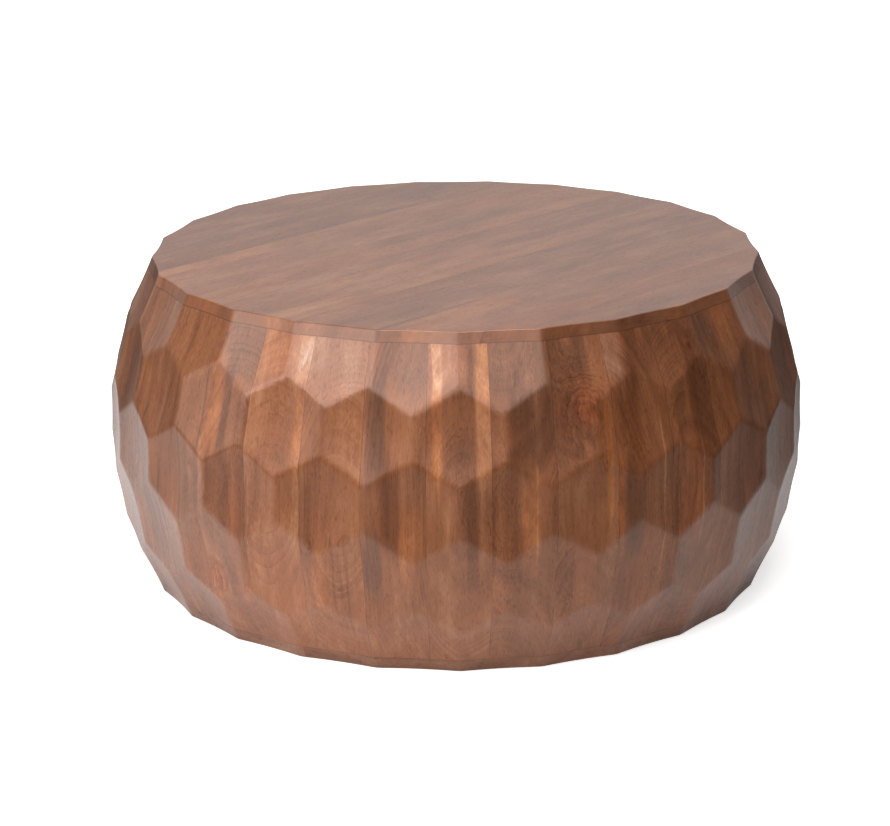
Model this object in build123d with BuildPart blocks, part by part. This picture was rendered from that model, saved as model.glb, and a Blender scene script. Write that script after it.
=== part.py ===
from build123d import *

import os
from math import atan, cos, degrees, pi, radians, sin, sqrt, tan

# A drum table in millimetres: +Z up, origin on the floor at the drum's axis. The wall is a barrel of
# upright staves whose outside is carved into rows of flat facets, set half a facet apart like a
# honeycomb. A planked top lies over the staves and a ring of segments is under them, and both are cut
# by the same facets. Azimuths are counted anticlockwise from +X, seen from above, in degrees.

# The barrel: seen from the side, the wall follows an arc that stands out furthest at the belly.
table_height = 406.0
belly_radius = 430.0
belly_height = 195.0
barrel_arc_radius = 403.0
front_azimuth = -90.0

# The facets: each is a flat cut that touches the barrel. A tilt is how far a row faces upwards.
facets_around = 25
row_tilts = [26.2, 14.6, 1.7, -10.4, -24.2]
rim_chamfer = 1.5

# The tabletop: planks of one width glued edge to edge into a panel, which the rim is then cut from.
top_thickness = 13.0
plank_count = 8
plank_azimuth = 47.0
middle_seam_offset = 7.0
panel_waste = 7.4

# The wall of staves.
stave_count = 36
wall_thickness = 36.0

# The base ring under the staves: boards with straight inner edges, mitred end to end. They reach
# inside the wall by the overhang.
base_thickness = 16.0
base_overhang = 57.4
base_segment_count = 9
base_joint_azimuth = front_azimuth + 12.0
base_inner_chamfer = 2.0

# The plywood hoops that keep the staves round, one at each end of the wall.
hoop_thickness = 18.0
hoop_width = 55.0
glue_gap = 0.2

# The battens that keep the planks flat.
batten_count = 3
batten_spacing = 190.0
batten_width = 45.0
batten_thickness = 20.0
batten_end_gap = 3.0
batten_chamfer = 3.0

# Countersunk wood screws, with plain shanks. Their round parts are kept to a few flats.
screw_sides = 6
screw_recess = 0.6
screw_clearance = 0.1
screw_edge_distance = 18.0
screw_head_rim = 0.4
base_screw_length = 40.0
base_screw_diameter = 4.5
base_screw_head_diameter = 9.0
base_screws_per_segment = 2
batten_screw_length = 27.0
batten_screw_diameter = 4.0
batten_screw_head_diameter = 8.0

# What follows from the sizes above.
facet_pitch = 360.0 / facets_around
stave_pitch = 360.0 / stave_count
base_segment_pitch = 360.0 / base_segment_count
arc_centre_radius = belly_radius - barrel_arc_radius
inner_arc_radius = barrel_arc_radius - wall_thickness
wall_bottom = base_thickness
wall_top = table_height - top_thickness
blank_radius = 2 * belly_radius


def around(azimuth):
    """The level unit vector that points outwards at an azimuth."""
    return Vector(cos(radians(azimuth)), sin(radians(azimuth)), 0)


def facet_plane(tilt, azimuth):
    """The flat cut of one facet, where it touches the barrel, facing outwards."""
    touch_radius = arc_centre_radius + barrel_arc_radius * cos(radians(tilt))
    touch_height = belly_height + barrel_arc_radius * sin(radians(tilt))
    touch_point = around(azimuth) * touch_radius + Vector(0, 0, touch_height)
    outwards = around(azimuth) * cos(radians(tilt)) + Vector(0, 0, sin(radians(tilt)))
    return Plane(origin=touch_point, z_dir=outwards)


def facet_radius(tilt, height):
    """How far the middle line of a facet is from the drum's axis at a height."""
    touch_radius = arc_centre_radius + barrel_arc_radius * cos(radians(tilt))
    touch_height = belly_height + barrel_arc_radius * sin(radians(tilt))
    return touch_radius - (height - touch_height) * tan(radians(tilt))


def inner_radius(height):
    """How far the inside of the wall is from the drum's axis at a height."""
    return arc_centre_radius + sqrt(inner_arc_radius**2 - (height - belly_height) ** 2)


def upright_plane(azimuth):
    """The plane through the drum's axis whose own x points outwards and whose own y points up."""
    return Plane(origin=(0, 0, 0), x_dir=around(azimuth), z_dir=around(azimuth - 90))


def wedge_sides(first_azimuth, last_azimuth):
    """The two upright planes through the axis that bound a wedge, both facing out of it."""
    return [
        Plane(origin=(0, 0, 0), z_dir=around(first_azimuth - 90)),
        Plane(origin=(0, 0, 0), z_dir=around(last_azimuth + 90)),
    ]


def save(builder, name):
    """Labels a finished piece and writes its file."""
    builder.part.label = name
    export_step(builder.part, f"parts/{name}.step")


os.makedirs("parts", exist_ok=True)


# The carved outside of the whole drum. Every outer piece is the common part of its blank and this form.
with BuildPart() as carved_form:
    Cylinder(blank_radius, table_height, align=(Align.CENTER, Align.CENTER, Align.MIN))
    for row, tilt in enumerate(row_tilts):
        row_shift = 0.5 if row % 2 == 0 else 0.0
        for facet in range(facets_around):
            facet_azimuth = front_azimuth + (facet + row_shift) * facet_pitch
            split(bisect_by=facet_plane(tilt, facet_azimuth), keep=Keep.BOTTOM)
    chamfer(carved_form.faces().sort_by(Axis.Z)[-1].edges(), rim_chamfer)
    chamfer(carved_form.faces().sort_by(Axis.Z)[0].edges(), rim_chamfer)


# Where the screws go.
base_screw_radius = (inner_radius(wall_bottom) + facet_radius(row_tilts[-1], wall_bottom)) / 2
base_screw_pitch = base_segment_pitch / base_screws_per_segment
first_base_screw_azimuth = base_joint_azimuth + base_screw_pitch / 2

plank_plane = Plane(origin=(0, 0, wall_top), x_dir=around(plank_azimuth), z_dir=(0, 0, 1))
batten_plane = plank_plane.offset(-batten_thickness)
rim_radius = facet_radius(row_tilts[0], table_height)
plank_width = (2 * rim_radius + panel_waste) / plank_count
plank_seams = [
    middle_seam_offset + (number - plank_count / 2) * plank_width for number in range(1, plank_count)
]
plank_edges = [-blank_radius] + plank_seams + [blank_radius]

hoop_inner_radius = inner_radius(wall_top) - hoop_width
batten_places = [(index - (batten_count - 1) / 2) * batten_spacing for index in range(batten_count)]


def batten_length(place):
    """The longest batten that fits inside the upper hoop at a place along the planks."""
    reach = hoop_inner_radius - batten_end_gap
    return 2 * sqrt(reach**2 - (abs(place) + batten_width / 2) ** 2)


batten_screw_places = [
    (place, (plank_seams[index] + plank_seams[index + 1]) / 2)
    for place in batten_places
    for index in range(plank_count - 2)
    if abs(plank_seams[index] + plank_seams[index + 1]) < batten_length(place) - 2 * screw_edge_distance
]


def screw_group(length, diameter, head_diameter, places, clearance=0, mouth=0):
    """Countersunk screws with their heads down at the places, or, with a clearance, their holes.

    The mouth is how far a hole goes on below the head."""
    countersink_depth = (head_diameter - diameter) / 2
    countersink_taper = degrees(atan(cos(pi / screw_sides)))
    shank_length = length + clearance - screw_head_rim - countersink_depth
    with BuildPart() as one_screw:
        with BuildSketch(Plane.XY.offset(-mouth)):
            RegularPolygon(head_diameter / 2 + clearance, screw_sides)
        extrude(amount=mouth + screw_head_rim)
        countersink_mouth = one_screw.faces().sort_by(Axis.Z)[-1]
        extrude(countersink_mouth, amount=countersink_depth, taper=countersink_taper)
        shank_end = one_screw.faces().sort_by(Axis.Z)[-1]
        extrude(shank_end, amount=shank_length)
    with BuildPart() as group:
        with Locations(*places):
            add(one_screw.part)
    return group


base_screw_points = [
    around(first_base_screw_azimuth + index * base_screw_pitch) * base_screw_radius
    + Vector(0, 0, screw_recess)
    for index in range(base_segment_count * base_screws_per_segment)
]
batten_screw_points = [
    batten_plane.from_local_coords(Vector(along, across, screw_recess))
    for along, across in batten_screw_places
]

base_screw_size = (base_screw_length, base_screw_diameter, base_screw_head_diameter)
batten_screw_size = (batten_screw_length, batten_screw_diameter, batten_screw_head_diameter)
hole_room = {"clearance": screw_clearance, "mouth": 2 * screw_recess}
base_screws = screw_group(*base_screw_size, base_screw_points)
batten_screws = screw_group(*batten_screw_size, batten_screw_points)
base_screw_holes = screw_group(*base_screw_size, base_screw_points, **hole_room)
batten_screw_holes = screw_group(*batten_screw_size, batten_screw_points, **hole_room)
save(base_screws, "base_screws")
save(batten_screws, "batten_screws")


# The staves: sawn to the barrel's curve inside and flat across, glued on upright planes through the
# axis, and carved outside.
for number in range(stave_count):
    stave_azimuth = front_azimuth + number * stave_pitch
    with BuildPart() as stave:
        with BuildSketch(upright_plane(stave_azimuth)):
            with BuildLine():
                inner_curve = ThreePointArc(
                    (inner_radius(wall_bottom), wall_bottom),
                    (inner_radius(belly_height), belly_height),
                    (inner_radius(wall_top), wall_top),
                )
                Polyline(
                    inner_curve @ 1,
                    (blank_radius, wall_top),
                    (blank_radius, wall_bottom),
                    inner_curve @ 0,
                )
            make_face()
        extrude(amount=blank_radius, both=True)
        for side in wedge_sides(stave_azimuth - stave_pitch / 2, stave_azimuth + stave_pitch / 2):
            split(bisect_by=side, keep=Keep.BOTTOM)
        add(carved_form.part, mode=Mode.INTERSECT)
        add(base_screw_holes.part, mode=Mode.SUBTRACT)
    save(stave, f"stave_{number + 1:02d}")


# The planks of the tabletop, their ends cut to the carved rim.
for number in range(plank_count):
    near_edge = plank_edges[number]
    far_edge = plank_edges[number + 1]
    with BuildPart() as plank:
        with BuildSketch(plank_plane):
            with Locations((0, (near_edge + far_edge) / 2)):
                Rectangle(2 * blank_radius, far_edge - near_edge)
        extrude(amount=top_thickness)
        add(carved_form.part, mode=Mode.INTERSECT)
        add(batten_screw_holes.part, mode=Mode.SUBTRACT)
    save(plank, f"top_plank_{number + 1}")


# The base ring, one board to a segment.
base_inner_distance = inner_radius(wall_bottom) - base_overhang

for number in range(base_segment_count):
    first_joint = base_joint_azimuth + number * base_segment_pitch
    with BuildPart() as base_segment:
        with BuildSketch(upright_plane(first_joint + base_segment_pitch / 2)):
            with BuildLine():
                Polyline(
                    (base_inner_distance, base_inner_chamfer),
                    (base_inner_distance, base_thickness),
                    (blank_radius, base_thickness),
                    (blank_radius, 0),
                    (base_inner_distance + base_inner_chamfer, 0),
                    close=True,
                )
            make_face()
        extrude(amount=blank_radius, both=True)
        for side in wedge_sides(first_joint, first_joint + base_segment_pitch):
            split(bisect_by=side, keep=Keep.BOTTOM)
        add(carved_form.part, mode=Mode.INTERSECT)
        add(base_screw_holes.part, mode=Mode.SUBTRACT)
    save(base_segment, f"base_segment_{number + 1}")


# The hoops, with their outer edge bevelled to lie along the inside of the wall.
def make_hoop(bottom, top, name):
    """A flat ring between two heights, inside the staves."""
    with BuildPart() as hoop:
        with BuildSketch(Plane.XZ):
            with BuildLine():
                Polyline(
                    (hoop_inner_radius, bottom),
                    (inner_radius(bottom) - glue_gap, bottom),
                    (inner_radius(top) - glue_gap, top),
                    (hoop_inner_radius, top),
                    close=True,
                )
            make_face()
        revolve(axis=Axis.Z)
    save(hoop, name)


make_hoop(wall_top - hoop_thickness, wall_top, "upper_hoop")
make_hoop(wall_bottom, wall_bottom + hoop_thickness, "lower_hoop")


# The battens, screwed up under the planks and across them.
for number, place in enumerate(batten_places):
    with BuildPart() as batten:
        with BuildSketch(batten_plane):
            with Locations((place, 0)):
                Rectangle(batten_width, batten_length(place))
        extrude(amount=batten_thickness)
        chamfer(batten.faces().sort_by(Axis.Z)[0].edges(), batten_chamfer)
        add(batten_screw_holes.part, mode=Mode.SUBTRACT)
    save(batten, f"batten_{number + 1}")
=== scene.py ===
import random
from functools import partial, partialmethod, reduce
from math import atan2, cos, degrees, exp, log, pi, radians, sin, sqrt, tan

import bmesh
import bpy
from mathutils import Matrix, Vector, noise


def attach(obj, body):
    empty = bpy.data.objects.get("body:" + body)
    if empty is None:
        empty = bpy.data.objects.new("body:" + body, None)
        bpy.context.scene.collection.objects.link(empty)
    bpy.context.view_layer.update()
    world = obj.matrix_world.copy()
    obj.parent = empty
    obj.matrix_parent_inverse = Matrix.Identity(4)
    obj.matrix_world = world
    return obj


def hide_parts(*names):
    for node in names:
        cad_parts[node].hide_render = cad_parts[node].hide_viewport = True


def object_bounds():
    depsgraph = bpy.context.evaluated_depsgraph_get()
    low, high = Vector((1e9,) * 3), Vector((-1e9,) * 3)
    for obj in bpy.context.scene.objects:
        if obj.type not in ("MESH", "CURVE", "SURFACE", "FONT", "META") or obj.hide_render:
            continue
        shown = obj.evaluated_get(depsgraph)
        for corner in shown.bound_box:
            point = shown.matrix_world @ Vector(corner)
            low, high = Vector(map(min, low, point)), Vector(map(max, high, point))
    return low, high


# The looks of the drum table: carved staves, tabletop planks, base boards, hoops, battens and screws.
# Metres throughout, +Z up, origin on the floor at the drum's axis, front towards -Y. Azimuths are in
# degrees, counted anticlockwise from +X, seen from above.

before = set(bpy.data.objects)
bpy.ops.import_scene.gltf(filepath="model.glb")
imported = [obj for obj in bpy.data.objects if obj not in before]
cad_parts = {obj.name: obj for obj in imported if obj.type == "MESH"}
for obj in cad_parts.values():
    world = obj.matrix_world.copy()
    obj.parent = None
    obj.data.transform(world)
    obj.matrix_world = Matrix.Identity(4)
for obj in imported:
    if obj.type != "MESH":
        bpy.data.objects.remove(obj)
cad_low, cad_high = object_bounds()

# Sizes shared with the solids.
table_height = cad_high.z
belly_radius = 0.430
belly_height = 0.195
barrel_arc_radius = 0.403
front_azimuth = -90.0
facets_around = 25
row_tilts = [26.2, 14.6, 1.7, -10.4, -24.2]
top_thickness = 0.013
plank_count = 8
plank_azimuth = 47.0
middle_seam_offset = 0.007
panel_waste = 0.0074
stave_count = 36
wall_thickness = 0.036
base_thickness = 0.016
base_inner_distance = 0.290
base_segment_count = 9
base_joint_azimuth = front_azimuth + 12.0
base_inner_chamfer = 0.002
hoop_thickness = 0.018
hoop_width = 0.055
glue_gap = 0.0002
batten_count = 3
batten_spacing = 0.190
batten_width = 0.045
batten_thickness = 0.020
batten_end_gap = 0.003
batten_chamfer = 0.003
screw_recess = 0.0006
screw_clearance = 0.0001
screw_edge_distance = 0.018
screw_head_rim = 0.0004
base_screws_per_segment = 2
base_screw = {"length": 0.040, "diameter": 0.0045, "head": 0.009}
batten_screw = {"length": 0.027, "diameter": 0.004, "head": 0.008}

# Sizes that only the looks use.
ridge_softness = 0.0007
ridge_band = 0.009
ridge_segments = 8
rim_ease = 0.0013
joint_ease = 0.0006
rim_ease_segments = 3
block_overrun = 0.03
facet_tilt_wobble = 0.35
facet_azimuth_wobble = 0.3
facet_reach_wobble = 0.0004
facet_hollow = (0.0019, 0.0028)
facet_hollow_radius = 0.054
facet_wave_height = 0.00012
facet_wave_length = 0.055
grid_levels = 30
grid_angle = 2.5
inner_levels = 12
edge_ease = 0.0008
edge_ease_segments = 2
hoop_steps = 144
screw_sides = 40
thread_pitch = 0.0020
thread_depth = 0.00045
thread_rows = 4
drive_arm = 0.29
drive_slot = 0.075
drive_depth = 0.0017
drive_taper = 0.55

# What follows from the sizes above.
facet_pitch = 360.0 / facets_around
stave_pitch = 360.0 / stave_count
base_pitch = 360.0 / base_segment_count
arc_centre_radius = belly_radius - barrel_arc_radius
inner_arc_radius = barrel_arc_radius - wall_thickness
wall_bottom = base_thickness
wall_top = table_height - top_thickness
batten_bottom = wall_top - batten_thickness


def around(azimuth):
    """The level unit vector that points outwards at an azimuth."""
    return Vector((cos(radians(azimuth)), sin(radians(azimuth)), 0))


def up(height):
    """The upright vector of a height."""
    return Vector((0, 0, height))


def touch(tilt):
    """Radius and height where a facet of a tilt touches the barrel."""
    reach = barrel_arc_radius
    return arc_centre_radius + reach * cos(radians(tilt)), belly_height + reach * sin(radians(tilt))


def facet_radius(tilt, height):
    """How far the middle line of a facet is from the drum's axis at a height."""
    radius, touch_height = touch(tilt)
    return radius - (height - touch_height) * tan(radians(tilt))


def inner_radius(height):
    """How far the inside of the wall is from the drum's axis at a height."""
    return arc_centre_radius + sqrt(inner_arc_radius**2 - (height - belly_height) ** 2)


plank_along = around(plank_azimuth)
plank_across = around(plank_azimuth + 90)
rim_radius = facet_radius(row_tilts[0], table_height)
plank_width = (2 * rim_radius + panel_waste) / plank_count
plank_seams = [
    middle_seam_offset + (number - plank_count / 2) * plank_width for number in range(1, plank_count)
]
hoop_inner_radius = inner_radius(wall_top) - hoop_width
batten_places = [(index - (batten_count - 1) / 2) * batten_spacing for index in range(batten_count)]
base_screw_radius = (inner_radius(wall_bottom) + facet_radius(row_tilts[-1], wall_bottom)) / 2
base_screw_pitch = base_pitch / base_screws_per_segment
base_screw_places = [
    around(base_joint_azimuth + (index + 0.5) * base_screw_pitch) * base_screw_radius + up(screw_recess)
    for index in range(base_segment_count * base_screws_per_segment)
]


# ---- mesh helpers


def split(mesh, point, normal, clear=False):
    """Divides the faces along a plane, and can take away what lies in front of it."""
    everything = mesh.verts[:] + mesh.edges[:] + mesh.faces[:]
    result = bmesh.ops.bisect_plane(
        mesh, geom=everything, dist=1e-7, plane_co=point, plane_no=normal, clear_outer=clear
    )
    return result["geom_cut"]


def cut(mesh, point, normal, fill=True):
    """Takes away what lies in front of a plane and, for a closed mesh, closes the cut."""
    made = split(mesh, point, normal, clear=True)
    rim = [part for part in made if isinstance(part, bmesh.types.BMEdge)]
    if fill and rim:
        bmesh.ops.edgeloop_fill(mesh, edges=rim)


def eased(mesh, edges, offset, segments, clamp=False):
    """Rounds some edges of a mesh."""
    shape = {"offset_type": "OFFSET", "profile": 0.5, "affect": "EDGES", "clamp_overlap": clamp}
    bmesh.ops.bevel(mesh, geom=edges, offset=offset, segments=segments, **shape)


def on_circle(radius, share, height):
    """The point at a share of a full turn round an upright line."""
    return Vector((radius * cos(2 * pi * share), radius * sin(2 * pi * share), height))


def neighbours(ring):
    """Each corner of a ring, with the next one round."""
    return list(zip(ring, ring[1:] + ring[:1]))


def join_rings(mesh, below, above):
    """Faces between two rings that have as many corners."""
    for (near, after), (over_near, over_after) in zip(neighbours(below), neighbours(above)):
        mesh.faces.new((near, after, over_after, over_near))


def lathe(mesh, profile, steps, at):
    """Turns a profile of (radius, height) points about an upright line, and gives its rings."""
    rings = []
    for radius, height in profile:
        places = [at + on_circle(radius, step / steps, height) for step in range(steps)]
        rings.append([mesh.verts.new(place) for place in places])
    for below, above in zip(rings, rings[1:]):
        join_rings(mesh, below, above)
    return rings


def add_object(name, data):
    """A new object in the scene."""
    made = bpy.data.objects.new(name, data)
    bpy.context.scene.collection.objects.link(made)
    return made


def add_mesh(name, mesh):
    """A bmesh as a new object in the scene."""
    data = bpy.data.meshes.new(name)
    mesh.to_mesh(data)
    mesh.free()
    return add_object(name, data)


def drilled(mesh, holes):
    """The mesh with screw holes cut into it."""
    for form in (mesh, holes):
        bmesh.ops.recalc_face_normals(form, faces=form.faces[:])
    blank, drill = add_mesh("blank", mesh), add_mesh("drill", holes)
    cutting = blank.modifiers.new("holes", "BOOLEAN")
    cutting.operation = "DIFFERENCE"
    cutting.object = drill
    cutting.solver = "EXACT"
    result = bmesh.new()
    result.from_object(blank, bpy.context.evaluated_depsgraph_get())
    for solid in (blank, drill):
        data = solid.data
        bpy.data.objects.remove(solid)
        bpy.data.meshes.remove(data)
    return result


def finished_object(mesh, kind, node, sharp_angle=40.0):
    """A bmesh as the object that stands for a CAD node and rides on the drum.

    It is shaded smooth, with the joints' edges sharp and the facets kept flat."""
    bmesh.ops.recalc_face_normals(mesh, faces=mesh.faces[:])
    made = add_mesh(f"{kind}_{node}", mesh)
    made.data.shade_smooth()
    made.data.set_sharp_from_angle(angle=radians(sharp_angle))
    weighted = made.modifiers.new("flat_facets", "WEIGHTED_NORMAL")
    weighted.keep_sharp = True
    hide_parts(node)
    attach(made, "root")
    return made


# ---- the carved block


def hand_cut_facets():
    """Row by row, each facet's place, facing and hollow, a little off the true ones as hand work is."""
    wobble = random.Random(11)
    rows = []
    for row, row_tilt in enumerate(row_tilts):
        shift = 0.5 if row % 2 == 0 else 0.0
        facets = []
        for facet in range(facets_around):
            tilt = row_tilt + wobble.uniform(-facet_tilt_wobble, facet_tilt_wobble)
            azimuth = front_azimuth + (facet + shift) * facet_pitch
            azimuth += wobble.uniform(-facet_azimuth_wobble, facet_azimuth_wobble)
            radius, height = touch(row_tilt)
            radius += wobble.uniform(-facet_reach_wobble, facet_reach_wobble)
            outwards = around(azimuth) * cos(radians(tilt)) + up(sin(radians(tilt)))
            at = around(azimuth) * radius + up(height)
            facets.append((at, outwards, wobble.uniform(*facet_hollow)))
        rows.append(facets)
    return rows


facet_rows = hand_cut_facets()


def carved_surface(point):
    """How far out from a point, measured level, the carved surface is.

    Each facet is a shallow round hollow, and where facets meet the ridge is soft, because the nearest
    ones all count, each less the further it is."""
    level = Vector((point.x, point.y, 0)).normalized()
    turn = (degrees(atan2(point.y, point.x)) - front_azimuth) / facet_pitch
    gaps = []
    for row, facets in enumerate(facet_rows):
        nearest = round(turn - (0.5 if row % 2 == 0 else 0.0))
        for facet in (nearest - 1, nearest, nearest + 1):
            at, outwards, hollow = facets[facet % facets_around]
            gap = (at - point).dot(outwards)
            aside = ((at - point) - gap * outwards).length / facet_hollow_radius
            gaps.append((gap - hollow * (1 - aside**2), outwards))
    least = min(gap for gap, _ in gaps)
    shares = [exp((least - gap) / ridge_softness) for gap, _ in gaps]
    soft_gap = least - ridge_softness * log(sum(shares))
    lean = sum(share * outwards.dot(level) for share, (_, outwards) in zip(shares, gaps)) / sum(shares)
    return soft_gap / lean


def carved_block():
    """The whole drum as one closed shell, carved and finely divided, a little too tall."""
    block = bmesh.new()
    bmesh.ops.create_cube(block, size=4 * belly_radius)
    cut(block, up(table_height + block_overrun), up(1))
    cut(block, up(-block_overrun), up(-1))
    for facets in facet_rows:
        for at, outwards, _ in facets:
            cut(block, at, outwards)
    ridges = [edge for edge in block.edges if all(abs(face.normal.z) < 0.9 for face in edge.link_faces)]
    eased(block, ridges, ridge_band, ridge_segments, clamp=True)
    level_step = (wall_top - wall_bottom) / grid_levels
    for level in range(-1, grid_levels + 1):
        split(block, up(wall_bottom + (level + 0.5) * level_step), up(1))
    for step in range(round(180 / grid_angle)):
        azimuth = front_azimuth + stave_pitch / 2 + step * grid_angle
        split(block, Vector(), around(azimuth + 90))
    for vertex in block.verts:
        level = Vector((vertex.co.x, vertex.co.y, 0))
        if level.length > base_inner_distance:
            wave = facet_wave_height * noise.noise(vertex.co / facet_wave_length)
            vertex.co += level.normalized() * (carved_surface(vertex.co) + wave)
    return block


block = carved_block()


def slice_of_block(bottom, top):
    """A slab of the carved block between two heights."""
    slab = block.copy()
    cut(slab, up(top), up(1))
    cut(slab, up(bottom), up(-1))
    slab.normal_update()
    return slab


def piece_between(slab, seams):
    """A copy of a slab, cut off at the piece's first two seams."""
    piece = slab.copy()
    for at, inwards in seams[:2]:
        cut(piece, at, -inwards)
    return piece


def ease_rim(slab, height, offset):
    """Rounds the edge between a slab's outside and its flat face at a height."""
    rim = [
        edge
        for edge in slab.edges
        if all(abs(vertex.co.z - height) < 1e-6 for vertex in edge.verts)
        and any(abs(face.normal.z) < 0.9 for face in edge.link_faces)
    ]
    eased(slab, rim, offset, rim_ease_segments)


# ---- each board's wood

wood_draw = random.Random(41)
stripe_slots = 6
knot_slots = 3
no_stripe = (9, 0.001, 0)
no_knot = (9, 9, 0.01)
whole_board = (-1.0, 1.0, 0.0)

# How strong a board's streaks, fibres and pores are, its rings, and its curl.
plain_figure = (1.0, 1.0, 1.0)
plank_figure = (0.4, 0.4, 1.0)


def looks(tone, warm, pith, lean=0.0, slant=0.0, stripes=(), knots=()):
    """What a board's wood is like, in metres and degrees in the board's own frame.

    tone is lighter or darker, warm is orange or mauve, and pith is where the middle of the tree is
    across and through the board, which with the lean and slant sets how the rings run over it. Each
    stripe is a band of lighter or darker wood: (place across, half its width, change), and if it
    doesn't run the whole length also (from, to, change of hue). knots are (across, along, size)."""
    marks = {"character": (tone, warm, wood_draw.uniform(0, 40))}
    for slot in range(stripe_slots):
        stripe = stripes[slot] if slot < len(stripes) else no_stripe
        stripe = (*stripe, *whole_board[len(stripe) - 3 :])
        marks[f"stripe_{slot}"], marks[f"stripe_reach_{slot}"] = stripe[:3], stripe[3:]
    for slot in range(knot_slots):
        marks[f"knot_{slot}"] = knots[slot] if slot < len(knots) else no_knot
    return {"pith": pith, "lean": lean, "slant": slant, "marks": marks}


def plain_looks(tone=0.0, warm=0.0):
    """Looks for a board that nothing in particular is known about."""
    draw = wood_draw.uniform
    stripes = []
    for _ in range(3):
        middle, reach = draw(-0.25, 0.25), draw(0.05, 0.3)
        band = draw(-0.035, 0.035), draw(0.003, 0.013), draw(-0.14, 0.12)
        stripes.append((*band, middle - reach, middle + reach))
    return looks(
        tone=tone + draw(-0.07, 0.07),
        warm=warm + draw(-0.35, 0.35),
        pith=(draw(-0.12, 0.12), wood_draw.choice((-1, 1)) * draw(0.04, 0.12)),
        lean=draw(-2, 2),
        slant=draw(-1, 1),
        stripes=stripes,
        knots=[(draw(-0.03, 0.03), draw(-0.18, 0.19), draw(0.002, 0.006))],
    )


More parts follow.
